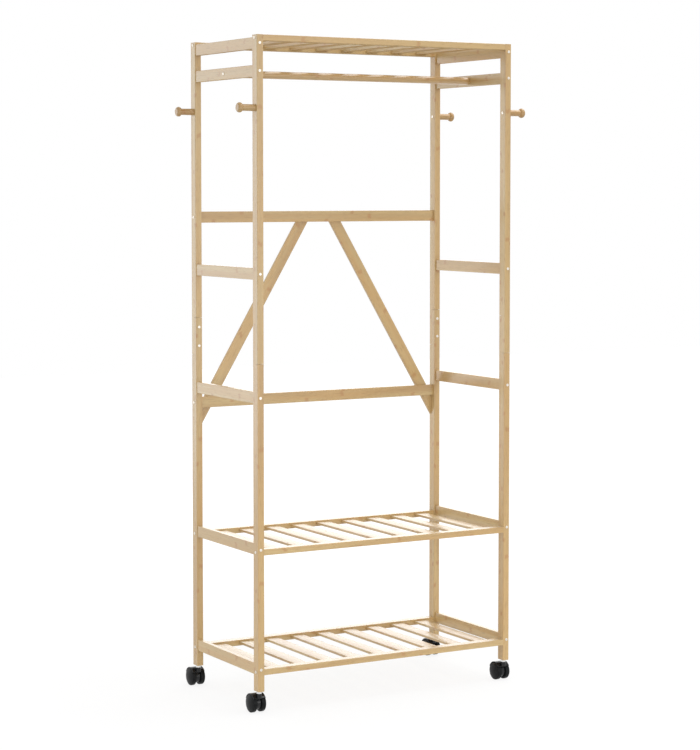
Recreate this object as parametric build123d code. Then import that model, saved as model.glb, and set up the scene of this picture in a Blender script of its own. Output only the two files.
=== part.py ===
from build123d import *
from collections import namedtuple
import math
import os

# Rolling clothes rack in bamboo. Four posts, each lapped from two lengths, stand on twin-wheel casters.
# They carry three slatted shelves, a hanging rod, ladder rails at the sides, braced rails at the back
# and four coat pegs. Millimetres: X runs left to right, Y from front to back, Z up from the floor.

# Posts
RACK_WIDTH = 737.0  # over the outer faces of the posts
RACK_DEPTH = 364.0  # over the front and back faces of the posts
POST_LENGTH = 1600.0
POST_WIDTH = 17.0  # along X
POST_DEPTH = 25.0  # along Y
EDGE_RADIUS = 1.2  # eased long edges of posts, rails and braces
LAP_HEIGHT = 804.0  # post foot to the start of the half lap
LAP_LENGTH = 96.0
LAP_BOLT_INSET = 24.0  # end of the lap to the nearer bolt
LAP_END_GAP = 0.6  # seam at each end of the lap

# Side rails, which run front to back between two posts, by their middles: drops are below the posts' tops
# and levels above the posts' feet
SIDE_RAIL_THICKNESS = 12.0
SIDE_RAIL_HEIGHT = 28.5
SIDE_RAIL_INSET = 1.5  # rail's outer face behind the posts' outer faces
TOP_RAIL_DROP = 20.0
HANGING_RAIL_DROP = 87.0
UPPER_LADDER_LEVEL = 1022.5
LOWER_LADDER_LEVEL = 721.0

# Shelves: front and back rails laid flat, with slats housed in their inner faces
SHELF_RAIL_HEIGHT = 15.0
SHELF_RAIL_DEPTH = 24.0
MIDDLE_SHELF_HEIGHT = 335.5  # post foot to the underside of the shelf
BOTTOM_SHELF_HEIGHT = 40.0
SLAT_COUNT = 9
SLAT_WIDTH = 35.0
SLAT_THICKNESS = 6.0
SLAT_EDGE_RADIUS = 0.8
SLAT_DROP = 4.0  # slat top below the rail top
SLAT_HOUSING = 8.0  # depth of the slat end inside the rail
SLAT_END_GAP = 28.0  # rail end to the first slat
HOUSING_CLEARANCE = 0.1

# Back rails and the two braces behind them
BACK_RAIL_HEIGHT = 28.5
BACK_RAIL_THICKNESS = 9.0
UPPER_BACK_LEVEL = 1156.5
LOWER_BACK_LEVEL = 681.5
BRACE_WIDTH = 29.5
BRACE_THICKNESS = 8.0
BRACE_TOP_SPREAD = 41.7  # rack middle to a brace's centre line at the upper back rail
BRACE_FOOT_LEVEL = 641.5  # post foot to where the centre line meets the post
BRACE_TOP_DROP = 3.0  # sawn top end below the upper back rail's top edge

# Hanging rod and pegs
ROD_DIAMETER = 19.0
ROD_CHAMFER = 0.8
PEG_DROP = 176.0  # below the posts' tops
PEG_DIAMETER = 16.5
PEG_LENGTH = 47.5
PEG_HEAD_DIAMETER = 25.0
PEG_HEAD_LENGTH = 13.0
PEG_HEAD_ROUND = 2.6

# Bolts with sunk hexagon sockets, the threaded inserts that hold them, and the braces' screws
BOLT_DIAMETER = 5.0
BOLT_HEAD_DIAMETER = 7.2
BOLT_HEAD_HEIGHT = 1.4
BOLT_HEAD_ROUND = 0.6
SOCKET_ACROSS_CORNERS = 3.6
SOCKET_DEPTH = 0.9
INSERT_DIAMETER = 7.0
INSERT_LENGTH = 9.0
BOLT_END_GAP = 0.5
HOLE_CLEARANCE = 0.2
FIT_CLEARANCE = 0.05
SCREW_DIAMETER = 3.5
SCREW_HEAD_DIAMETER = 7.0
SCREW_BITE = 6.5  # screw length inside the back rail
SCREW_SPACING = 14.0

# Casters: twin wheels under a hood that swivels on a stem screwed into the post
WHEEL_DIAMETER = 45.0
WHEEL_REACH = 21.0  # caster's middle to the crown of a wheel's domed face
WHEEL_DOME = 4.0  # part of that reach taken by the dome
WHEEL_SHOULDER = 2.5
WHEEL_SIDE_GAP = 0.5
CASTER_TRAIL = 17.0  # axle behind the swivel axis
AXLE_DIAMETER = 6.0
AXLE_LENGTH = 32.0
HOOD_WEB = 11.5  # thickness of the hood's middle wall
HOOD_WEB_INSET = 5.5  # rim of that wall inside the wheels' treads, below the hood
HOOD_GAP = 0.8
HOOD_WALL = 1.8
HOOD_EDGE_RADIUS = 1.4
HOOD_FRONT_ANGLE = 54.0
HOOD_BACK_ANGLE = 65.0
BOSS_DIAMETER = 13.0
BOSS_DEPTH = 12.0
BOSS_RISE = 1.2  # top of the swivel boss above the hood's crown
SWIVEL_GAP = 0.3
SWIVEL_PIN_DIAMETER = 5.0
SWIVEL_PIN_LENGTH = 7.0
COLLAR_HEIGHT = 5.9
COLLAR_ACROSS_CORNERS = 14.0
STEM_DIAMETER = 8.0
STEM_LENGTH = 20.0
STEM_INSERT_DIAMETER = 11.0
RUNNING_CLEARANCE = 0.05

# Heights and planes worked out from the sizes above
wheel_radius = WHEEL_DIAMETER / 2
hood_inner_radius = wheel_radius + HOOD_GAP
hood_outer_radius = hood_inner_radius + HOOD_WALL
boss_top = wheel_radius + hood_outer_radius + BOSS_RISE
foot_z = boss_top + SWIVEL_GAP + COLLAR_HEIGHT
right_x = RACK_WIDTH / 2
inner_x = right_x - POST_WIDTH
post_x = right_x - POST_WIDTH / 2
rail_x = right_x - SIDE_RAIL_INSET - SIDE_RAIL_THICKNESS / 2
rod_end_x = right_x - SIDE_RAIL_INSET - SIDE_RAIL_THICKNESS
# The origin is under the middle of the whole rack, from the front bolt heads to the back casters' hoods
hood_reach = hood_outer_radius * math.sin(math.radians(HOOD_BACK_ANGLE))
back_reach = CASTER_TRAIL + hood_reach - POST_DEPTH / 2
front_y = BOLT_HEAD_HEIGHT - (BOLT_HEAD_HEIGHT + RACK_DEPTH + back_reach) / 2
back_y = front_y + RACK_DEPTH
middle_y = (front_y + back_y) / 2
front_post_y = front_y + POST_DEPTH / 2
back_post_y = back_y - POST_DEPTH / 2
hanging_level = POST_LENGTH - HANGING_RAIL_DROP
peg_level = POST_LENGTH - PEG_DROP
side_rail_length = RACK_DEPTH - 2 * POST_DEPTH
long_rail_length = RACK_WIDTH - 2 * POST_WIDTH

SIDES = {"left": -1, "right": 1}
ENDS = {"front": front_post_y, "back": back_post_y}
SHELVES = {
    "top": POST_LENGTH - SHELF_RAIL_HEIGHT,
    "middle": MIDDLE_SHELF_HEIGHT,
    "bottom": BOTTOM_SHELF_HEIGHT,
}
SIDE_RAIL_LEVELS = {
    "top_rail": POST_LENGTH - TOP_RAIL_DROP,
    "hanging_rail": hanging_level,
    "upper_ladder_rail": UPPER_LADDER_LEVEL,
    "lower_ladder_rail": LOWER_LADDER_LEVEL,
    "middle_shelf_side_rail": MIDDLE_SHELF_HEIGHT + SIDE_RAIL_HEIGHT / 2,
    "bottom_shelf_side_rail": BOTTOM_SHELF_HEIGHT + SIDE_RAIL_HEIGHT / 2,
}
BACK_RAIL_LEVELS = {"upper_back_rail": UPPER_BACK_LEVEL, "lower_back_rail": LOWER_BACK_LEVEL}

nodes = {}


# Bars with eased long edges
def bar(centre, size, along, radius=EDGE_RADIUS):
    body = Box(*size)
    body = fillet(body.edges().filter_by(along), radius)
    return Pos(*centre) * body


def rod_between(at, towards, start, end, radius):
    """A round bar along a direction, from one distance past a point to another."""
    place = Plane(origin=at, z_dir=towards).location
    return place * Pos(0, 0, (start + end) / 2) * Cylinder(radius, end - start)


# Bolted joints: the head bears on the first piece, the grip is that piece's thickness,
# and the bolt ends in a threaded insert set into the second piece
Joint = namedtuple("Joint", "at towards grip")


def bolt_hole(joint):
    return rod_between(joint.at, joint.towards, 0, joint.grip, BOLT_DIAMETER / 2 + HOLE_CLEARANCE)


def insert_bore(joint):
    end = joint.grip + INSERT_LENGTH + BOLT_END_GAP
    return rod_between(joint.at, joint.towards, joint.grip, end, INSERT_DIAMETER / 2 + FIT_CLEARANCE)


def insert(joint):
    end = joint.grip + INSERT_LENGTH
    sleeve = rod_between(joint.at, joint.towards, joint.grip, end, INSERT_DIAMETER / 2)
    return sleeve - rod_between(joint.at, joint.towards, joint.grip, end, BOLT_DIAMETER / 2 + FIT_CLEARANCE)


def bolt(joint):
    head = Pos(0, 0, -BOLT_HEAD_HEIGHT / 2) * Cylinder(BOLT_HEAD_DIAMETER / 2, BOLT_HEAD_HEIGHT)
    head = fillet(head.edges().group_by(Axis.Z)[0], BOLT_HEAD_ROUND)
    socket = extrude(RegularPolygon(SOCKET_ACROSS_CORNERS / 2, 6), SOCKET_DEPTH)
    socket = Pos(0, 0, -BOLT_HEAD_HEIGHT) * socket
    length = joint.grip + INSERT_LENGTH
    shank = Pos(0, 0, length / 2) * Cylinder(BOLT_DIAMETER / 2, length)
    return Plane(origin=joint.at, z_dir=joint.towards).location * (head - socket + shank)


def side_rail_joints(side, level):
    z = foot_z + level
    return {
        "front": Joint((side * rail_x, front_y, z), (0, 1, 0), POST_DEPTH),
        "back": Joint((side * rail_x, back_y, z), (0, -1, 0), POST_DEPTH),
    }


def long_rail_joints(y, level):
    z = foot_z + level
    return {
        "left": Joint((-right_x, y, z), (1, 0, 0), POST_WIDTH),
        "right": Joint((right_x, y, z), (-1, 0, 0), POST_WIDTH),
    }


def peg_joint(side, y):
    return Joint((side * inner_x, y, foot_z + peg_level), (side, 0, 0), POST_WIDTH)


def rod_joint(side):
    outer_face = side * (right_x - SIDE_RAIL_INSET)
    return Joint((outer_face, middle_y, foot_z + hanging_level), (-side, 0, 0), SIDE_RAIL_THICKNESS)


def lap_joints(side, end):
    """The two bolts of a half lap, with their heads on the post's inner face."""
    inward = 1 if end == "front" else -1
    inner_face = ENDS[end] + inward * POST_DEPTH / 2
    found = []
    for level in (LAP_HEIGHT + LAP_BOLT_INSET, LAP_HEIGHT + LAP_LENGTH - LAP_BOLT_INSET):
        at = (side * post_x, inner_face, foot_z + level)
        found.append(Joint(at, (0, -inward, 0), POST_DEPTH / 2))
    return found


joints = []

# Side rails: flat bars between front and back posts, one bolt into each end
post_holes = {(side, end): [] for side in SIDES for end in ENDS}
for side, sign in SIDES.items():
    for name, level in SIDE_RAIL_LEVELS.items():
        size = (SIDE_RAIL_THICKNESS, side_rail_length, SIDE_RAIL_HEIGHT)
        rail = bar((sign * rail_x, middle_y, foot_z + level), size, Axis.Y)
        for end, joint in side_rail_joints(sign, level).items():
            rail -= insert_bore(joint)
            post_holes[side, end].append(bolt_hole(joint))
            joints.append(joint)
        if name == "hanging_rail":
            rail -= bolt_hole(rod_joint(sign))
        nodes[f"{side}_{name}"] = rail

# Slatted shelves: long rails laid flat between the posts, slats housed in them
slat_pitch = (long_rail_length - 2 * SLAT_END_GAP - SLAT_WIDTH) / (SLAT_COUNT - 1)
first_slat_x = -long_rail_length / 2 + SLAT_END_GAP + SLAT_WIDTH / 2
slat_length = back_post_y - front_post_y - SHELF_RAIL_DEPTH + 2 * SLAT_HOUSING
for shelf, height in SHELVES.items():
    slat_z = foot_z + height + SHELF_RAIL_HEIGHT - SLAT_DROP - SLAT_THICKNESS / 2
    slats = []
    housings = []
    for i in range(SLAT_COUNT):
        centre = (first_slat_x + i * slat_pitch, middle_y, slat_z)
        slats.append(bar(centre, (SLAT_WIDTH, slat_length, SLAT_THICKNESS), Axis.Y, SLAT_EDGE_RADIUS))
        room = [d + 2 * HOUSING_CLEARANCE for d in (SLAT_WIDTH, slat_length, SLAT_THICKNESS)]
        housings.append(Pos(*centre) * Box(*room))
    nodes[f"{shelf}_shelf_slats"] = Compound(children=slats)
    rail_level = height + SHELF_RAIL_HEIGHT / 2
    for end, y in ENDS.items():
        size = (long_rail_length, SHELF_RAIL_DEPTH, SHELF_RAIL_HEIGHT)
        rail = bar((0, y, foot_z + rail_level), size, Axis.X) - housings
        for side, joint in long_rail_joints(y, rail_level).items():
            rail -= insert_bore(joint)
            post_holes[side, end].append(bolt_hole(joint))
            joints.append(joint)
        nodes[f"{shelf}_shelf_{end}_rail"] = rail

# Braces: two flat bars behind the back rails, leaning apart, sawn upright where they meet the posts
brace_front_y = back_post_y + BACK_RAIL_THICKNESS / 2
brace_back_y = brace_front_y + BRACE_THICKNESS
brace_run = inner_x - BRACE_TOP_SPREAD
brace_rise = UPPER_BACK_LEVEL - BRACE_FOOT_LEVEL
brace_half_span = BRACE_WIDTH / 2 * math.hypot(brace_run, brace_rise) / brace_rise
brace_top = UPPER_BACK_LEVEL + BACK_RAIL_HEIGHT / 2 - BRACE_TOP_DROP


def brace_x(level):
    """Distance from the rack's middle to a brace's centre line at a level."""
    return BRACE_TOP_SPREAD + (UPPER_BACK_LEVEL - level) * brace_run / brace_rise


def brace_level(x):
    """Level at which a brace's centre line is at a distance from the rack's middle."""
    return UPPER_BACK_LEVEL - (x - BRACE_TOP_SPREAD) * brace_rise / brace_run


def screw(at):
    """A countersunk screw driven forwards from the back of a brace."""
    into = (0, -1, 0)
    head_height = (SCREW_HEAD_DIAMETER - SCREW_DIAMETER) / 2
    head = Cone(SCREW_HEAD_DIAMETER / 2, SCREW_DIAMETER / 2, head_height)
    shank = rod_between(at, into, 0, BRACE_THICKNESS + SCREW_BITE, SCREW_DIAMETER / 2)
    return shank + Plane(origin=at, z_dir=into).location * Pos(0, 0, head_height / 2) * head


def screw_room(at):
    """The hole for one screw, with its countersink."""
    into = (0, -1, 0)
    room = SCREW_DIAMETER / 2 + FIT_CLEARANCE
    head_room = SCREW_HEAD_DIAMETER / 2 + FIT_CLEARANCE
    sink = head_room - room
    cone = Plane(origin=at, z_dir=into).location * Pos(0, 0, sink / 2) * Cone(head_room, room, sink)
    return rod_between(at, into, 0, BRACE_THICKNESS + SCREW_BITE + FIT_CLEARANCE, room) + cone


screws = []
screw_holes = []
for side, sign in SIDES.items():
    upper_x = brace_x(brace_top)
    outline = [
        (upper_x - brace_half_span, brace_top),
        (upper_x + brace_half_span, brace_top),
        (inner_x, brace_level(inner_x - brace_half_span)),
        (inner_x, brace_level(inner_x + brace_half_span)),
    ]
    face = make_face(Polyline(*[(sign * x, foot_z + level) for x, level in outline], close=True))
    brace = extrude(Plane.XZ * face, BRACE_THICKNESS, dir=(0, 1, 0))
    slope = Axis((0, 0, 0), (sign * brace_run, 0, -brace_rise))
    brace = Pos(0, brace_front_y, 0) * fillet(brace.edges().filter_by(slope), EDGE_RADIUS)
    for level in BACK_RAIL_LEVELS.values():
        for step in (-SCREW_SPACING / 2, SCREW_SPACING / 2):
            at = (sign * brace_x(level) + step, brace_back_y, foot_z + level)
            screws.append(screw(at))
            screw_holes.append(screw_room(at))
    nodes[f"{side}_brace"] = brace - screw_holes
nodes["brace_screws"] = Compound(children=screws)

# Back rails: two flat bars in the middle of the back posts' depth
for name, level in BACK_RAIL_LEVELS.items():
    size = (long_rail_length, BACK_RAIL_THICKNESS, BACK_RAIL_HEIGHT)
    rail = bar((0, back_post_y, foot_z + level), size, Axis.X) - screw_holes
    for side, joint in long_rail_joints(back_post_y, level).items():
        rail -= insert_bore(joint)
        post_holes[side, "back"].append(bolt_hole(joint))
        joints.append(joint)
    nodes[name] = rail

# Hanging rod: a round bar between the hanging rails, bolted through them
rod = Cylinder(ROD_DIAMETER / 2, 2 * rod_end_x)
rod = chamfer(rod.edges().filter_by(GeomType.CIRCLE), ROD_CHAMFER)
rod = Pos(0, middle_y, foot_z + hanging_level) * Rot(0, 90, 0) * rod
for sign in SIDES.values():
    rod -= insert_bore(rod_joint(sign))
    joints.append(rod_joint(sign))
nodes["hanging_rod"] = rod


# Pegs: turned knobs with a rounded head, bolted on from the posts' inner faces
def turned_peg():
    """One peg along +X from the post's face: a plain shaft and a head shaped like a flattened ball."""
    shaft_end = PEG_LENGTH - PEG_HEAD_LENGTH
    head_middle = PEG_LENGTH - PEG_HEAD_LENGTH / 2
    shaft = Pos(shaft_end / 2, 0, 0) * Rot(0, 90, 0) * Cylinder(PEG_DIAMETER / 2, shaft_end)
    core = make_face(
        [
            Line((shaft_end, 0), (shaft_end, PEG_DIAMETER / 2)),
            ThreePointArc(
                (shaft_end, PEG_DIAMETER / 2),
                (head_middle, PEG_HEAD_DIAMETER / 2),
                (PEG_LENGTH, PEG_DIAMETER / 2),
            ),
            Line((PEG_LENGTH, PEG_DIAMETER / 2), (PEG_LENGTH, 0)),
            Line((PEG_LENGTH, 0), (shaft_end, 0)),
        ]
    )
    head = revolve(core, Axis.X)
    head = fillet(head.edges().group_by(Axis.X)[-1], PEG_HEAD_ROUND)
    return shaft + head


for side, sign in SIDES.items():
    for end, y in ENDS.items():
        joint = peg_joint(sign, y)
        turn = Rot(0, 0, 0 if sign > 0 else 180)
        peg = Pos(sign * right_x, y, foot_z + peg_level) * turn * turned_peg()
        nodes[f"{end}_{side}_peg"] = peg - insert_bore(joint)
        post_holes[side, end].append(bolt_hole(joint))
        joints.append(joint)

# Posts: a lower and an upper length, halved across their depth where they lap
stem_inserts = []
for side, sign in SIDES.items():
    for end, y in ENDS.items():
        outward = -1 if end == "front" else 1
        centre = (sign * post_x, y, foot_z + POST_LENGTH / 2)
        post = bar(centre, (POST_WIDTH, POST_DEPTH, POST_LENGTH), Axis.Z)
        at_foot = (sign * post_x, y, foot_z)
        sleeve = rod_between(at_foot, (0, 0, 1), 0, STEM_LENGTH, STEM_INSERT_DIAMETER / 2)
        thread = rod_between(at_foot, (0, 0, 1), 0, STEM_LENGTH, STEM_DIAMETER / 2 + FIT_CLEARANCE)
        socket = rod_between(at_foot, (0, 0, 1), 0, STEM_LENGTH, STEM_INSERT_DIAMETER / 2 + FIT_CLEARANCE)
        stem_inserts.append(sleeve - thread)
        cuts = post_holes[side, end] + [socket]
        for joint in lap_joints(sign, end):
            cuts += [bolt_hole(joint), insert_bore(joint)]
            joints.append(joint)
        post -= cuts
        lap_z = foot_z + LAP_HEIGHT
        below = Pos(sign * post_x, y, lap_z / 2) * Box(2 * POST_WIDTH, 2 * POST_DEPTH, lap_z)
        inner_half = Box(2 * POST_WIDTH, POST_DEPTH, LAP_LENGTH)
        inner_half = Pos(sign * post_x, y - outward * POST_DEPTH / 2, lap_z + LAP_LENGTH / 2) * inner_half
        lower = below + inner_half
        nodes[f"{end}_{side}_lower_post"] = post & lower
        nodes[f"{end}_{side}_upper_post"] = post - lower - Pos(0, 0, LAP_END_GAP) * lower

nodes["frame_bolts"] = Compound(children=[bolt(joint) for joint in joints])
nodes["threaded_inserts"] = Compound(children=[insert(joint) for joint in joints])
nodes["caster_inserts"] = Compound(children=stem_inserts)


# Casters, drawn with the axle's middle at the local origin and the swivel axis in front of it
def around_axle(angle, radius):
    """A point of the caster's side view, at an angle from straight up towards the back."""
    return (radius * math.sin(math.radians(angle)), radius * math.cos(math.radians(angle)))


def caster_hood():
    front_inner = around_axle(-HOOD_FRONT_ANGLE, hood_inner_radius)
    front_outer = around_axle(-HOOD_FRONT_ANGLE, hood_outer_radius)
    back_inner = around_axle(HOOD_BACK_ANGLE, hood_inner_radius)
    back_outer = around_axle(HOOD_BACK_ANGLE, hood_outer_radius)
    cover = make_face(
        [
            ThreePointArc(front_outer, (0, hood_outer_radius), back_outer),
            Line(back_outer, back_inner),
            ThreePointArc(back_inner, (0, hood_inner_radius), front_inner),
            Line(front_inner, front_outer),
        ]
    )
    cover = extrude(Plane.YZ * cover, WHEEL_REACH - WHEEL_DOME, both=True)
    arcs = cover.edges().filter_by(GeomType.CIRCLE)
    rim = [arc for arc in arcs if arc.radius > hood_inner_radius + HOOD_WALL / 2]
    cover = fillet(rim, HOOD_EDGE_RADIUS)
    top = (0, -CASTER_TRAIL, boss_top - wheel_radius)
    boss = rod_between(top, (0, 0, -1), 0, BOSS_DEPTH, BOSS_DIAMETER / 2)
    boss -= Rot(0, 90, 0) * Cylinder(hood_inner_radius, 2 * BOSS_DIAMETER)
    wall = make_face(
        [
            Line((0, 0), front_outer),
            ThreePointArc(front_outer, (0, hood_outer_radius), back_outer),
            Line(back_outer, (0, 0)),
        ]
    )
    web = extrude(Plane.YZ * wall, HOOD_WEB / 2, both=True)
    web += Rot(0, 90, 0) * Cylinder(wheel_radius - HOOD_WEB_INSET, HOOD_WEB)
    axle_hole = Rot(0, 90, 0) * Cylinder(AXLE_DIAMETER / 2 + FIT_CLEARANCE, 2 * HOOD_WEB)
    pin_radius = SWIVEL_PIN_DIAMETER / 2 + RUNNING_CLEARANCE
    pin_hole = rod_between(top, (0, 0, -1), 0, SWIVEL_PIN_LENGTH + SWIVEL_GAP, pin_radius)
    return cover + boss + web - axle_hole - pin_hole


def caster_wheel():
    """One wheel along +X: flat inner face, rounded tread, domed outer face, blind bore for the axle."""
    inner = HOOD_WEB / 2 + WHEEL_SIDE_GAP
    bore = AXLE_DIAMETER / 2 + RUNNING_CLEARANCE
    bore_end = AXLE_LENGTH / 2 + WHEEL_SIDE_GAP
    rim = (WHEEL_REACH - WHEEL_DOME, wheel_radius)
    crown = (WHEEL_REACH, 0)
    half = make_face(
        [
            Line((inner, bore), (inner, wheel_radius)),
            Line((inner, wheel_radius), rim),
            TangentArc(crown, rim, tangent=(0, 1)),
            Line(crown, (bore_end, 0)),
            Line((bore_end, 0), (bore_end, bore)),
            Line((bore_end, bore), (inner, bore)),
        ]
    )
    wheel = revolve(half, Axis.X)
    circles = wheel.edges().filter_by(GeomType.CIRCLE)
    tread = [circle for circle in circles if circle.radius > wheel_radius - WHEEL_SHOULDER]
    return fillet(tread, WHEEL_SHOULDER)


def caster_stem():
    """The zinc stem: a pin for the hood below, a collar that starts at z = 0 and a threaded top."""
    collar = extrude(RegularPolygon(COLLAR_ACROSS_CORNERS / 2, 6), COLLAR_HEIGHT)
    pin = rod_between((0, 0, 0), (0, 0, -1), 0, SWIVEL_PIN_LENGTH, SWIVEL_PIN_DIAMETER / 2)
    thread = rod_between((0, 0, COLLAR_HEIGHT), (0, 0, 1), 0, STEM_LENGTH, STEM_DIAMETER / 2)
    return collar + pin + thread


stems = []
for side, sign in SIDES.items():
    for end, y in ENDS.items():
        at_axle = Pos(sign * post_x, y + CASTER_TRAIL, wheel_radius)
        caster = f"{end}_{side}"
        nodes[f"{caster}_caster_hood"] = at_axle * caster_hood()
        nodes[f"{caster}_caster_axle"] = at_axle * Rot(0, 90, 0) * Cylinder(AXLE_DIAMETER / 2, AXLE_LENGTH)
        nodes[f"{caster}_right_wheel"] = at_axle * caster_wheel()
        nodes[f"{caster}_left_wheel"] = at_axle * Rot(0, 0, 180) * caster_wheel()
        stems.append(Pos(sign * post_x, y, foot_z - COLLAR_HEIGHT) * caster_stem())
nodes["caster_stems"] = Compound(children=stems)

os.makedirs("parts", exist_ok=True)
for name, shape in nodes.items():
    export_step(shape, f"parts/{name}.step")
print(len(nodes), "nodes; front face", round(front_y, 3), "overall height", foot_z + POST_LENGTH)
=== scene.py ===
import bpy
import itertools
import math
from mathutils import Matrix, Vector


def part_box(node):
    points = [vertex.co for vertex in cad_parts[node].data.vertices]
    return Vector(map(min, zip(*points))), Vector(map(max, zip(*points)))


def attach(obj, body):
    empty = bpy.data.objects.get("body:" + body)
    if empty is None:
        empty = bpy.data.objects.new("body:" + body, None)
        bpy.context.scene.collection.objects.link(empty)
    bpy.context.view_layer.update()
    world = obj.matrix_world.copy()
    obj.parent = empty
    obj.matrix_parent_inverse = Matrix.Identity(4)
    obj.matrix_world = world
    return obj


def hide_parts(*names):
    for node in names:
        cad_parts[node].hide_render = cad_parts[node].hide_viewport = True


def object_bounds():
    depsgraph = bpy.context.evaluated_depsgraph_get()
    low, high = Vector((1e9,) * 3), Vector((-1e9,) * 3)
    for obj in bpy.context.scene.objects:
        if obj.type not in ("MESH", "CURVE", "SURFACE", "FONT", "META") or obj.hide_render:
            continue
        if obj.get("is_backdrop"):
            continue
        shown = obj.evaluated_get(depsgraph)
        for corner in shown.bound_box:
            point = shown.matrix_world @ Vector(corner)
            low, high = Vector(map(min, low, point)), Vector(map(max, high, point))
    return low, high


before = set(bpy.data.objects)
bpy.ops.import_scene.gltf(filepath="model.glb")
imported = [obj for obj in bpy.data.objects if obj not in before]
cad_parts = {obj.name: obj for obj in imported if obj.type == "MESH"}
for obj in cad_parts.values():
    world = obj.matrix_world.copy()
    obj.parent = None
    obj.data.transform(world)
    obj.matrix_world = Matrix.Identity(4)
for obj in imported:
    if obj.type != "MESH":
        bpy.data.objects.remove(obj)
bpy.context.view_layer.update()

# Posts: four bars of laminated bamboo, each of two lengths halved and bolted together at mid height.
# Planed from strips glued side by side, eased at the edges and sprayed with a clear satin lacquer.
# The culm's joints show as reddish bands, and its vascular bundles as fine lengthwise flecks.
ALONG_X = (0, 0, 0)
ALONG_Y = (0, 0, math.radians(-90))
ALONG_Z = (0, math.radians(90), 0)
CUT_STEP = (0.137, 0.47, 0.31)
# Painted shade: these bars stand in shade, under the top shelf or low at the back left, and their colour is
# painted darker and redder to stand in for it.
PAINTED_SHADE_BARS = {
    "back_left_lower_post": 0.15,
    "right_top_rail": 0.12,
    "right_hanging_rail": 0.22,
    "top_shelf_back_rail": 0.25,
}


def node(tree, kind, inputs=None, **settings):
    """Adds a node, sets its properties, and wires or fills its inputs by name or number."""
    made = tree.nodes.new(kind)
    for key, value in settings.items():
        setattr(made, key, value)
    for key, value in (inputs or {}).items():
        if isinstance(value, bpy.types.NodeSocket):
            tree.links.new(value, made.inputs[key])
        else:
            made.inputs[key].default_value = value
    return made


def maths(tree, operation, *values):
    """One step of arithmetic on numbers."""
    return node(tree, "ShaderNodeMath", dict(enumerate(values)), operation=operation).outputs[0]


def vectors(tree, operation, *values):
    """One step of arithmetic on vectors."""
    return node(tree, "ShaderNodeVectorMath", dict(enumerate(values)), operation=operation).outputs[0]


def blend(tree, factor, first, second):
    """Mixes two colours and gives the result's socket."""
    return node(tree, "ShaderNodeMix", {0: factor, 6: first, 7: second}, data_type="RGBA").outputs[2]


def ramp(tree, value, low, high, to_low=0.0, to_high=1.0):
    """Maps a value smoothly from one range to another."""
    wires = {"Value": value, "From Min": low, "From Max": high, "To Min": to_low, "To Max": to_high}
    return node(tree, "ShaderNodeMapRange", wires, interpolation_type="SMOOTHSTEP").outputs[0]


def noise(tree, place, scale, detail, roughness):
    """Smooth noise between nought and one."""
    wires = {"Vector": place, "Scale": scale, "Detail": detail, "Roughness": roughness}
    return node(tree, "ShaderNodeTexNoise", wires).outputs["Fac"]


def new_finish(name):
    """A new material with its node tree, its shader and the place on the object in metres."""
    material = bpy.data.materials.new(name)
    material.use_nodes = True
    tree = material.node_tree
    place = node(tree, "ShaderNodeTexCoord").outputs["Object"]
    return material, tree, tree.nodes["Principled BSDF"], place


def feed(tree, shader, colour, roughness, relief, strength, depth):
    """Gives a shader its colour, its roughness and a fine relief."""
    bump = node(tree, "ShaderNodeBump", {"Height": relief, "Strength": strength, "Distance": depth})
    tree.links.new(colour, shader.inputs["Base Color"])
    tree.links.new(roughness, shader.inputs["Roughness"])
    tree.links.new(bump.outputs[0], shader.inputs["Normal"])


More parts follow.
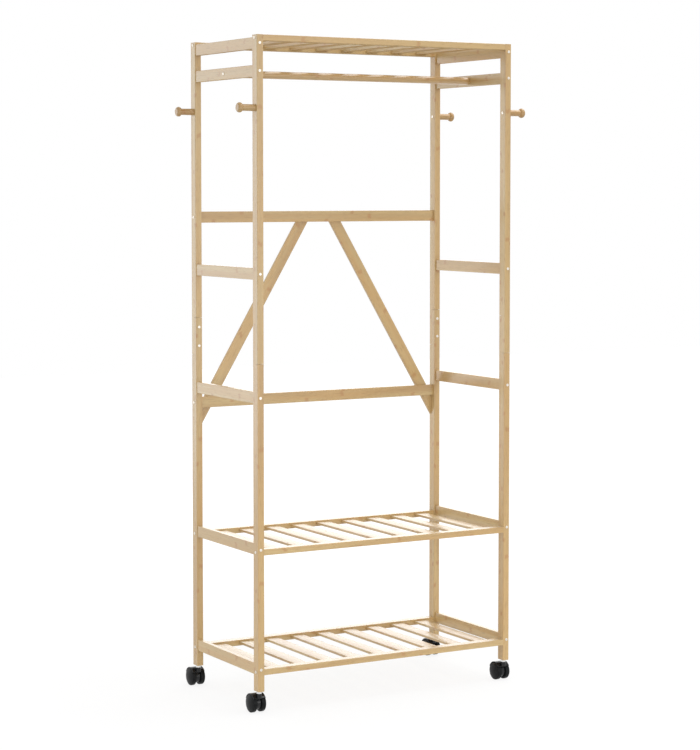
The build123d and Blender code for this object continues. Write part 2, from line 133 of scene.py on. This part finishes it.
def bamboo(name, grain, cut, toast=0.0, coat=0.8, coat_roughness=0.24, bare_below=False):
    """Lacquered bamboo with its fibres along one axis.

    The cut shifts the pattern, so that each bar has its own. A string names the attribute that holds it.
    Toast darkens the culm: on the pegs and the rod it is their darker stock, and on the bars listed at the
    top it is painted shade. A piece that is bare below stays dull underneath, where the spray doesn't reach.
    """
    pale = (0.602, 0.464, 0.222, 1)
    honey = (0.463, 0.288, 0.119, 1)
    rosy = (0.548, 0.350, 0.142, 1)
    toasted = (0.350, 0.180, 0.056, 1)
    fleck_brown = (0.270, 0.150, 0.056, 1)
    joint_brown = (0.420, 0.190, 0.063, 1)
    strip_size = (1.0, 0.0083, 0.0125)
    internode = 0.33
    joint_edge, joint_core, joint_strength = 0.024, 0.006, 0.50
    joint_wander = 0.020
    joint_height = 0.8
    under_edge, under_core, under_roughness = -0.80, -0.98, 0.9
    material, tree, shader, place = new_finish(name)
    if isinstance(cut, str):
        shift = node(tree, "ShaderNodeAttribute", attribute_name=cut).outputs["Vector"]
        place = vectors(tree, "ADD", place, shift)
        cut = (0, 0, 0)
    laid = {"Vector": place, "Rotation": grain, "Location": cut}
    place = node(tree, "ShaderNodeMapping", laid).outputs[0]

    def streaks(along_grain, across_grain, detail):
        scale = (along_grain, across_grain, across_grain)
        spread = node(tree, "ShaderNodeMapping", {"Vector": place, "Scale": scale}).outputs[0]
        return noise(tree, spread, scale=1.0, detail=detail, roughness=0.6)

    culm = streaks(1.8, 30, detail=2.0)
    blush = streaks(3.2, 45, detail=2.0)
    fibre = streaks(9, 1100, detail=3.0)
    bundles = streaks(38, 620, detail=1.0)
    wander = streaks(6, 130, detail=2.0)

    # Each glued strip has its own tone, and its joints start at a place of their own.
    strip = vectors(tree, "DIVIDE", place, strip_size)
    strip = vectors(tree, "MULTIPLY", strip, (0, 1, 1))
    strip = vectors(tree, "FLOOR", strip)
    strip = node(tree, "ShaderNodeTexWhiteNoise", {"Vector": strip}, noise_dimensions="3D")
    strip_tone = ramp(tree, strip.outputs["Value"], 0.0, 1.0, 0.0, 0.48)
    strip = node(tree, "ShaderNodeSeparateColor", {0: strip.outputs["Color"]}).outputs
    strip_start = strip[1]
    strip_blush = ramp(tree, strip[2], 0.35, 0.95, 0.0, 0.60)

    # The joints come once to an internode, as bands that wander a little across the strip.
    along = node(tree, "ShaderNodeSeparateXYZ", {0: place}).outputs[0]
    along = maths(tree, "MULTIPLY_ADD", wander, joint_wander, along)
    turn = maths(tree, "DIVIDE", along, internode)
    turn = maths(tree, "ADD", turn, strip_start)
    turn = maths(tree, "FRACT", turn)
    away = maths(tree, "SUBTRACT", turn, 0.5)
    away = maths(tree, "ABSOLUTE", away)
    band = ramp(tree, away, joint_edge, joint_core, 0.0, joint_strength)

    colour = blend(tree, ramp(tree, culm, 0.36, 0.80), pale, honey)
    colour = blend(tree, strip_tone, colour, honey)
    colour = blend(tree, strip_blush, colour, rosy)
    colour = blend(tree, ramp(tree, blush, 0.46, 0.66, 0.0, 0.75), colour, rosy)
    # Painted shade on the bars that stand in shade; on the pegs and the rod this brown is their darker
    # stock.
    colour = blend(tree, toast, colour, toasted)
    colour = blend(tree, ramp(tree, fibre, 0.48, 0.76, 0.0, 0.45), colour, honey)
    colour = blend(tree, ramp(tree, bundles, 0.58, 0.72, 0.0, 0.36), colour, fleck_brown)
    colour = blend(tree, band, colour, joint_brown)
    sheen = ramp(tree, fibre, 0.3, 0.8, 0.34, 0.46)
    shader.inputs["Coat Weight"].default_value = coat
    if bare_below:
        facing = node(tree, "ShaderNodeNewGeometry").outputs["Normal"]
        facing = node(tree, "ShaderNodeSeparateXYZ", {0: facing}).outputs[2]
        sprayed = ramp(tree, facing, under_core, under_edge, 0.0, coat)
        tree.links.new(sprayed, shader.inputs["Coat Weight"])
        bare = ramp(tree, facing, under_edge, under_core, 0.0, under_roughness)
        sheen = maths(tree, "MAXIMUM", sheen, bare)
    relief = maths(tree, "MULTIPLY_ADD", band, joint_height, fibre)
    feed(tree, shader, colour, sheen, relief, strength=0.10, depth=0.0004)
    shader.inputs["Specular IOR Level"].default_value = 0.25
    shader.inputs["Coat Roughness"].default_value = coat_roughness
    shader.inputs["Coat IOR"].default_value = 1.56
    return material


def dress(piece_name, material):
    """Gives a CAD piece one finish."""
    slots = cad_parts[piece_name].data.materials
    slots.clear()
    slots.append(material)


culm_numbers = itertools.count(1)


def next_cut():
    """A new stretch of culm for the next bar."""
    number = next(culm_numbers)
    return tuple(step * number for step in CUT_STEP)


def dress_bar(bar, grain, **finish):
    """Gives a bar a bamboo of its own."""
    # Bars that stand in shade get painted shade here, as a darker, redder colour.
    finish.setdefault("toast", PAINTED_SHADE_BARS.get(bar, 0.0))
    dress(bar, bamboo(bar + "_bamboo", grain, next_cut(), **finish))


for end in ("front", "back"):
    for side in ("left", "right"):
        for length in ("lower", "upper"):
            dress_bar(f"{end}_{side}_{length}_post", ALONG_Z)

# Side rails: flat bamboo bars set between a front and a back post, a bolt into each end.
# Top and hanging rails, two ladder rails, and one beside each lower shelf, on either side.
for side in ("left", "right"):
    for level in ("top", "hanging"):
        dress_bar(f"{side}_{level}_rail", ALONG_Y, bare_below=True)
    for level in ("upper_ladder", "lower_ladder", "middle_shelf_side", "bottom_shelf_side"):
        dress_bar(f"{side}_{level}_rail", ALONG_Y)

# Shelf rails: bamboo bars laid flat between the posts at the front and back of each shelf.
# Mortised on their inner faces for the slats and bolted through the posts.
for shelf in ("top", "middle", "bottom"):
    for end in ("front", "back"):
        dress_bar(f"{shelf}_shelf_{end}_rail", ALONG_X, bare_below=shelf == "top")

# Slats: thin bamboo strips across each shelf, their ends glued into the shelf rails.
# All are ripped to one size from different culms, so every slat has its own grain and tone.
SLAT_COUNT = 9
SLAT_WIDTH = 0.035
SLAT_EASING = 0.0008
SLAT_EASING_STEPS = 3
SLAT_SEED = 11
CULM_SPREAD = 4.0


def slat_tree():
    """A row of slats: a rounded bar swept along Y and repeated along X, each with a cut of its own."""
    tree = bpy.data.node_groups.new("slat_row", "GeometryNodeTree")
    tree.interface.new_socket("Geometry", in_out="OUTPUT", socket_type="NodeSocketGeometry")
    for size in ("Width", "Thickness", "Length", "Easing", "Pitch"):
        tree.interface.new_socket(size, in_out="INPUT", socket_type="NodeSocketFloat")
    tree.interface.new_socket("Count", in_out="INPUT", socket_type="NodeSocketInt")
    tree.interface.new_socket("First", in_out="INPUT", socket_type="NodeSocketVector")
    tree.interface.new_socket("Finish", in_out="INPUT", socket_type="NodeSocketMaterial")
    given = node(tree, "NodeGroupInput").outputs
    half = maths(tree, "MULTIPLY", given["Length"], 0.5)
    minus_half = maths(tree, "MULTIPLY", given["Length"], -0.5)
    start = node(tree, "ShaderNodeCombineXYZ", {"Y": minus_half}).outputs[0]
    end = node(tree, "ShaderNodeCombineXYZ", {"Y": half}).outputs[0]
    path = node(tree, "GeometryNodeCurvePrimitiveLine", {"Start": start, "End": end}).outputs[0]
    section = {"Width": given["Width"], "Height": given["Thickness"]}
    section = node(tree, "GeometryNodeCurvePrimitiveQuadrilateral", section, mode="RECTANGLE").outputs[0]
    eased = {"Curve": section, "Radius": given["Easing"], "Count": SLAT_EASING_STEPS}
    eased = node(tree, "GeometryNodeFilletCurve", eased, mode="POLY").outputs[0]
    swept = {"Curve": path, "Profile Curve": eased, "Fill Caps": True}
    slat = node(tree, "GeometryNodeCurveToMesh", swept).outputs[0]
    step = node(tree, "ShaderNodeCombineXYZ", {"X": given["Pitch"]}).outputs[0]
    row = {"Count": given["Count"], "Start Location": given["First"], "Offset": step}
    row = node(tree, "GeometryNodeMeshLine", row, mode="OFFSET").outputs[0]
    slats = node(tree, "GeometryNodeInstanceOnPoints", {"Points": row, "Instance": slat}).outputs[0]
    cut = {"Min": (0.0, 0.0, 0.0), "Max": (CULM_SPREAD, CULM_SPREAD, CULM_SPREAD), "Seed": SLAT_SEED}
    cut = node(tree, "FunctionNodeRandomValue", cut, data_type="FLOAT_VECTOR").outputs["Value"]
    named = {"Geometry": slats, "Name": "slat_cut", "Value": cut}
    store = {"data_type": "FLOAT_VECTOR", "domain": "INSTANCE"}
    named = node(tree, "GeometryNodeStoreNamedAttribute", named, **store).outputs[0]
    real = node(tree, "GeometryNodeRealizeInstances", {"Geometry": named}).outputs[0]
    done = {"Geometry": real, "Material": given["Finish"]}
    done = node(tree, "GeometryNodeSetMaterial", done).outputs[0]
    node(tree, "NodeGroupOutput", {"Geometry": done})
    return tree


def plain_mesh(maker, tree, sizes, name):
    """Runs a node tree with these sizes and keeps the result as the object's ordinary mesh."""
    modifier = maker.modifiers.new("build", "NODES")
    modifier.node_group = tree
    for item in tree.interface.items_tree:
        if item.in_out == "INPUT" and item.name in sizes:
            modifier[item.identifier] = sizes[item.name]
    bpy.context.view_layer.update()
    seen = maker.evaluated_get(bpy.context.evaluated_depsgraph_get())
    mesh = bpy.data.meshes.new_from_object(seen)
    mesh.name = name
    maker.modifiers.remove(modifier)
    maker.data = mesh


slat_row = slat_tree()
slat_bamboo = bamboo(
    "slat_bamboo", ALONG_Y, "slat_cut", coat=1.0, coat_roughness=0.34, bare_below=True
)
for shelf in ("top", "middle", "bottom"):
    low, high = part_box(f"{shelf}_shelf_slats")
    slat_sizes = {
        "Width": SLAT_WIDTH,
        "Thickness": high.z - low.z,
        "Length": high.y - low.y,
        "Easing": SLAT_EASING,
        "Pitch": (high.x - low.x - SLAT_WIDTH) / (SLAT_COUNT - 1),
        "Count": SLAT_COUNT,
        "First": (low.x + SLAT_WIDTH / 2, (low.y + high.y) / 2, (low.z + high.z) / 2),
        "Finish": slat_bamboo,
    }
    slats = bpy.data.objects.new(f"{shelf}_slats", bpy.data.meshes.new("slats"))
    bpy.context.scene.collection.objects.link(slats)
    plain_mesh(slats, slat_row, slat_sizes, f"{shelf}_slats")
    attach(slats, "frame")
    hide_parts(f"{shelf}_shelf_slats")

# Back rails and braces: two flat rails between the back posts, and a pair of bars leaning apart behind them.
# The braces are sawn upright where they meet the posts and screwed on from the back.
BRACE_RISE = 0.515
BRACE_RUN = 0.3098
brace_lean = math.atan2(BRACE_RISE, BRACE_RUN)
for rail in ("upper_back_rail", "lower_back_rail"):
    dress_bar(rail, ALONG_X)
dress_bar("left_brace", (0, brace_lean, 0))
dress_bar("right_brace", (0, -brace_lean, 0))

# Hanging rod: a round bamboo bar turned to an even diameter, bolted through both hanging rails.
# Its smooth lacquer carries a long highlight.
dress_bar("hanging_rod", ALONG_X, toast=0.25, coat=1.0, coat_roughness=0.18)

# Pegs: short bamboo pegs turned with a rounded head, one on each post, bolted on from inside.
# They come from darker stock than the bars and are polished on the lathe.
for end in ("front", "back"):
    for side in ("left", "right"):
        dress_bar(f"{end}_{side}_peg", ALONG_X, toast=0.50, coat=0.6, coat_roughness=0.16)


# Bolts, screws and inserts: steel plated with bright zinc, which is a little cloudy.
# The button heads have hexagon sockets and are pulled up on the bamboo. The inserts behind them are duller.
def plated(name, colour, smoothest, roughest):
    """Zinc plating: a metal with cloudy gloss and a faint grain."""
    material, tree, shader, place = new_finish(name)
    cloud = noise(tree, place, scale=420.0, detail=3.0, roughness=0.6)
    dull = tuple(0.8 * channel for channel in colour)
    tone = blend(tree, ramp(tree, cloud, 0.35, 0.7), (*colour, 1), (*dull, 1))
    gloss = ramp(tree, cloud, 0.3, 0.7, smoothest, roughest)
    feed(tree, shader, tone, gloss, cloud, strength=0.08, depth=0.0002)
    shader.inputs["Metallic"].default_value = 1.0
    return material


bolt_zinc = plated("bolt_zinc", (0.80, 0.76, 0.69), smoothest=0.26, roughest=0.40)
insert_zinc = plated("insert_zinc", (0.64, 0.61, 0.56), smoothest=0.34, roughest=0.50)
for fixing in ("frame_bolts", "brace_screws"):
    dress(fixing, bolt_zinc)
for fixing in ("threaded_inserts", "caster_inserts"):
    dress(fixing, insert_zinc)


# Casters: two black nylon wheels on a steel axle under a glossy moulded hood, which swivels on a zinc stem.
# The hood is polished in its mould. The wheels have a finer, duller skin and scuffed treads.
def moulded(name, colour, scuffed, shine, smoothest, roughest, skin, skin_depth):
    """Injection-moulded plastic: a fine skin in the surface, cloudy gloss and a little dust."""
    material, tree, shader, place = new_finish(name)
    wear = noise(tree, place, scale=90.0, detail=4.0, roughness=0.65)
    grain = noise(tree, place, scale=skin, detail=2.0, roughness=0.5)
    tone = blend(tree, ramp(tree, wear, 0.48, 0.75), (*colour, 1), (*scuffed, 1))
    gloss = ramp(tree, wear, 0.3, 0.75, smoothest, roughest)
    feed(tree, shader, tone, gloss, grain, strength=0.12, depth=skin_depth)
    shader.inputs["Specular IOR Level"].default_value = shine
    return material


hood_plastic = moulded(
    "hood_plastic",
    colour=(0.006, 0.006, 0.007),
    scuffed=(0.011, 0.011, 0.012),
    shine=0.36,
    smoothest=0.10,
    roughest=0.20,
    skin=900.0,
    skin_depth=0.0001,
)
wheel_nylon = moulded(
    "wheel_nylon",
    colour=(0.006, 0.0065, 0.007),
    scuffed=(0.013, 0.013, 0.014),
    shine=0.12,
    smoothest=0.34,
    roughest=0.46,
    skin=2200.0,
    skin_depth=0.0003,
)
axle_steel = plated("axle_steel", (0.56, 0.56, 0.56), smoothest=0.28, roughest=0.42)
stem_zinc = plated("stem_zinc", (0.80, 0.80, 0.79), smoothest=0.20, roughest=0.34)
dress("caster_stems", stem_zinc)
for end in ("front", "back"):
    for side in ("left", "right"):
        caster = f"{end}_{side}"
        dress(f"{caster}_caster_hood", hood_plastic)
        dress(f"{caster}_caster_axle", axle_steel)
        dress(f"{caster}_left_wheel", wheel_nylon)
        dress(f"{caster}_right_wheel", wheel_nylon)

# Studio: a plain pale floor that runs to a white surround, with the camera where the photograph was taken.
# Five soft boxes stand overhead, in front, at the left and, two of them, behind. Distances are in metres.
FLOOR_REACH = 9.0
GLOW_START, GLOW_END = 0.7, 1.8
GLOW_NEAR, WHITE = 0.86, 1.0
SWEEP_START, SWEEP_END = 0.9, 2.2
SWEEP_NEAR, SWEEP_FAR, SWEEP_SEEN = 0.94, 0.25, 0.14
AMBIENT = 0.76
CAMERA_DOWN, CAMERA_TURN = 3.334, -30.01

floor_mesh = bpy.data.meshes.new("floor")
corners = [(-1, -1), (1, -1), (1, 1), (-1, 1)]
floor_mesh.from_pydata([(FLOOR_REACH * x, FLOOR_REACH * y, 0) for x, y in corners], [], [(0, 1, 2, 3)])
floor = bpy.data.objects.new("floor", floor_mesh)
bpy.context.scene.collection.objects.link(floor)
floor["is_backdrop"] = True


def grey(level):
    """An even grey."""
    return (level, level, level, 1)


def seen_rays(tree):
    """One for the rays that show the studio itself: to the camera, in reflections and through glass."""
    rays = node(tree, "ShaderNodeLightPath").outputs
    seen = maths(tree, "MAXIMUM", rays["Is Camera Ray"], rays["Is Glossy Ray"])
    return maths(tree, "MAXIMUM", seen, rays["Is Transmission Ray"])


floor_paint = bpy.data.materials.new("floor_paint")
floor_paint.use_nodes = True
tree = floor_paint.node_tree
tree.nodes.remove(tree.nodes["Principled BSDF"])
seen = seen_rays(tree)
spot = node(tree, "ShaderNodeTexCoord").outputs["Object"]
spot = node(tree, "ShaderNodeVectorMath", {0: spot}, operation="LENGTH").outputs["Value"]
white = maths(tree, "MULTIPLY", seen, ramp(tree, spot, GLOW_START, GLOW_END, GLOW_NEAR, WHITE))
sweep = blend(tree, ramp(tree, spot, SWEEP_START, SWEEP_END), grey(SWEEP_NEAR), grey(SWEEP_FAR))
floor_colour = blend(tree, seen, sweep, grey(SWEEP_SEEN))
matte = node(tree, "ShaderNodeBsdfDiffuse", {"Color": floor_colour}).outputs[0]
glow = node(tree, "ShaderNodeEmission", {"Strength": white}).outputs[0]
both = node(tree, "ShaderNodeAddShader", {0: matte, 1: glow}).outputs[0]
tree.links.new(both, tree.nodes["Material Output"].inputs["Surface"])
floor_mesh.materials.append(floor_paint)

world = bpy.data.worlds.new("surround")
bpy.context.scene.world = world
world.use_nodes = True
tree = world.node_tree
level = {"Value": seen_rays(tree), "To Min": AMBIENT, "To Max": WHITE}
level = node(tree, "ShaderNodeMapRange", level).outputs[0]
tree.links.new(level, tree.nodes["Background"].inputs["Strength"])
tree.nodes["Background"].inputs["Color"].default_value = grey(1)


def soft_box(name, place, aim, width, height, brightness):
    """A flat soft light of one brightness, turned to face a point."""
    lamp = bpy.data.lights.new(name, "AREA")
    lamp.shape = "RECTANGLE"
    lamp.size = width
    lamp.size_y = height
    lamp.energy = brightness * math.pi * width * height
    light = bpy.data.objects.new(name, lamp)
    bpy.context.scene.collection.objects.link(light)
    light.location = place
    light.rotation_euler = (Vector(aim) - Vector(place)).to_track_quat("-Z", "Y").to_euler()


soft_box("overhead", (1.1, -0.3, 3.4), aim=(0, 0, 1.2), width=2.8, height=1.8, brightness=2.7)
soft_box("front", (-0.1, -4.5, 1.2), aim=(0, 0, 0.8), width=5.0, height=2.2, brightness=1.50)
soft_box("left", (-3.6, -2.4, 0.6), aim=(0, 0, 0.3), width=4.4, height=1.3, brightness=1.25)
soft_box("back_left", (-2.55, 3.8, 1.2), aim=(-0.37, 0, 1.1), width=1.5, height=2.4, brightness=1.6)
soft_box("back", (1.8, 3.1, 1.1), aim=(0, 0, 0.5), width=2.6, height=1.8, brightness=1.2)

lens = bpy.data.cameras.new("camera")
lens.lens = 104.042
lens.shift_y = -0.08
camera = bpy.data.objects.new("camera", lens)
camera.location = (-2.7932, -4.8403, 1.2840)
camera.rotation_euler = (math.radians(90 - CAMERA_DOWN), 0, math.radians(CAMERA_TURN))
bpy.context.scene.collection.objects.link(camera)
bpy.context.scene.camera = camera
bpy.context.scene.view_settings.view_transform = "Standard"

low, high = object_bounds()
